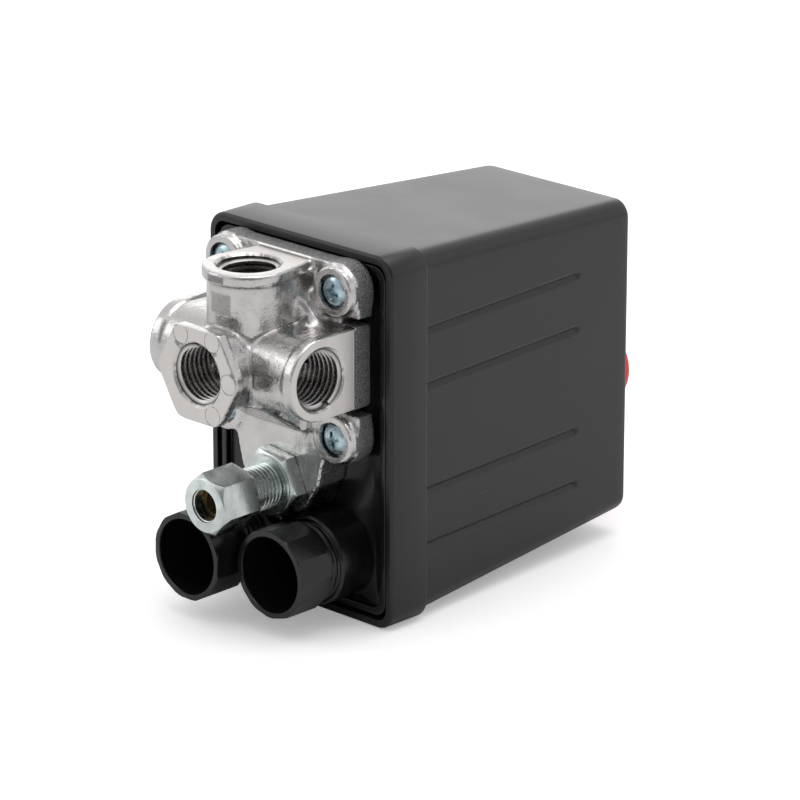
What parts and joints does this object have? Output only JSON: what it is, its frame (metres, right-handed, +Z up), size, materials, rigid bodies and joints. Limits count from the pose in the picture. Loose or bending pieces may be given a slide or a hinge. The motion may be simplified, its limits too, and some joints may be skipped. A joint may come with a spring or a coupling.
{
  "type": "pressure switch",
  "caption": "Air compressor pressure switch: tapered black cover with a red push-pull knob, aluminium port manifold, unloader valve and cable glands.",
  "frame": {"origin": "midway along and across the object, on the surface that its cover's skirt lies on", "axes": "+Z up as it lies on its narrow side, +Y from the manifold to the knob, +X across its width"},
  "size_m": [0.054, 0.1264, 0.082],
  "materials": {
    "black_plastic": "satin injection-moulded black plastic with a fine spark texture",
    "cast_alloy": "die-cast aluminium, glossy cast skin with machined port faces",
    "zinc_steel": "bright zinc plate with a faint blue-green tint",
    "blue_zinc": "blue passivated zinc plate",
    "sheet_steel": "yellow-tinged zinc-plated pressed steel",
    "spring_steel": "drawn spring wire",
    "brass": "turned brass, slightly dulled",
    "copper": "copper contact strip",
    "rubber": "black nitrile rubber",
    "white_plastic": "natural acetal plastic",
    "bakelite": "dark thermoset moulding",
    "red_plastic": "red moulded plastic"
  },
  "bodies": {
    "casing": {"cover": "black_plastic", "cover_screw": "blue_zinc", "cover_pillar": "zinc_steel", "base": "black_plastic", "manifold": "cast_alloy", "manifold_screw_1": "blue_zinc", "manifold_screw_2": "blue_zinc", "manifold_screw_3": "blue_zinc", "manifold_screw_4": "blue_zinc", "diaphragm": "rubber", "valve_body": "zinc_steel", "valve_plug": "brass", "valve_spring": "spring_steel", "valve_olive": "brass", "frame": "sheet_steel", "pivot_pin": "zinc_steel", "range_spring": "spring_steel", "contact_block": "bakelite", "terminal_1": "brass", "terminal_2": "brass", "terminal_3": "brass", "terminal_4": "brass", "terminal_screw_1": "zinc_steel", "terminal_screw_2": "zinc_steel", "terminal_screw_3": "zinc_steel", "terminal_screw_4": "zinc_steel", "earth_screw_left": "brass", "earth_screw_right": "brass", "detent_clip": "spring_steel", "gland_grommet_left": "rubber", "gland_grommet_right": "rubber", "gland_washer_left": "zinc_steel", "gland_washer_right": "zinc_steel"},
    "rocker": {"rocker": "sheet_steel", "spring_seat": "sheet_steel", "contact_carrier": "white_plastic", "moving_bridge_left": "copper", "moving_bridge_right": "copper"},
    "piston": {"piston": "white_plastic"},
    "valve_pin": {"valve_pin": "brass"},
    "range_cup": {"range_cup": "sheet_steel"},
    "range_screw": {"range_screw": "zinc_steel"},
    "knob": {"knob": "red_plastic", "knob_stem": "white_plastic"},
    "gland_nut_left": {"gland_nut_left": "black_plastic"},
    "gland_nut_right": {"gland_nut_right": "black_plastic"},
    "valve_nut": {"valve_nut": "zinc_steel"}
  },
  "joints": [
    {"name": "rocker_tilt", "type": "hinge", "parent": "casing", "child": "rocker", "pos_m": [0, -0.01775, 0.044], "axis": [-1, 0, 0], "range_deg": [0, 4], "stiffness_Nm_per_rad": 0.5, "springref_deg": -2.86, "deforming": ["range_spring"]},
    {"name": "piston_slide", "type": "slide", "parent": "casing", "child": "piston", "axis": [0, 1, 0], "range_m": [0, 0.00096]},
    {"name": "valve_pin_slide", "type": "slide", "parent": "casing", "child": "valve_pin", "axis": [0, -1, 0], "range_m": [0, 0.0011], "deforming": ["valve_spring"]},
    {"name": "range_cup_slide", "type": "slide", "parent": "casing", "child": "range_cup", "axis": [0, -1, 0], "range_m": [-0.0024, 0.0024], "deforming": ["range_spring"]},
    {"name": "range_screw_turn", "type": "hinge", "parent": "range_cup", "child": "range_screw", "pos_m": [0, 0.03375, 0.0583], "axis": [0, -1, 0], "range_deg": [-1080, 1080]},
    {"name": "knob_slide", "type": "slide", "parent": "casing", "child": "knob", "axis": [0, -1, 0], "range_m": [0, 0.006], "deforming": ["detent_clip"]},
    {"name": "gland_nut_left_turn", "type": "hinge", "parent": "casing", "child": "gland_nut_left", "pos_m": [-0.01015, -0.05325, 0.014], "axis": [0, -1, 0], "continuous": true},
    {"name": "gland_nut_right_turn", "type": "hinge", "parent": "casing", "child": "gland_nut_right", "pos_m": [0.01015, -0.04825, 0.014], "axis": [0, -1, 0], "continuous": true},
    {"name": "valve_nut_turn", "type": "hinge", "parent": "casing", "child": "valve_nut", "pos_m": [0, -0.05525, 0.0291], "axis": [0, -1, 0], "continuous": true}
  ],
  "couplings": [
    {"joint": "rocker_tilt", "follows": "piston_slide", "rad_per_m": 71.43},
    {"joint": "valve_pin_slide", "follows": "piston_slide", "ratio": 1.0714},
    {"joint": "range_screw_turn", "follows": "range_cup_slide", "rad_per_m": 7854}
  ]
}
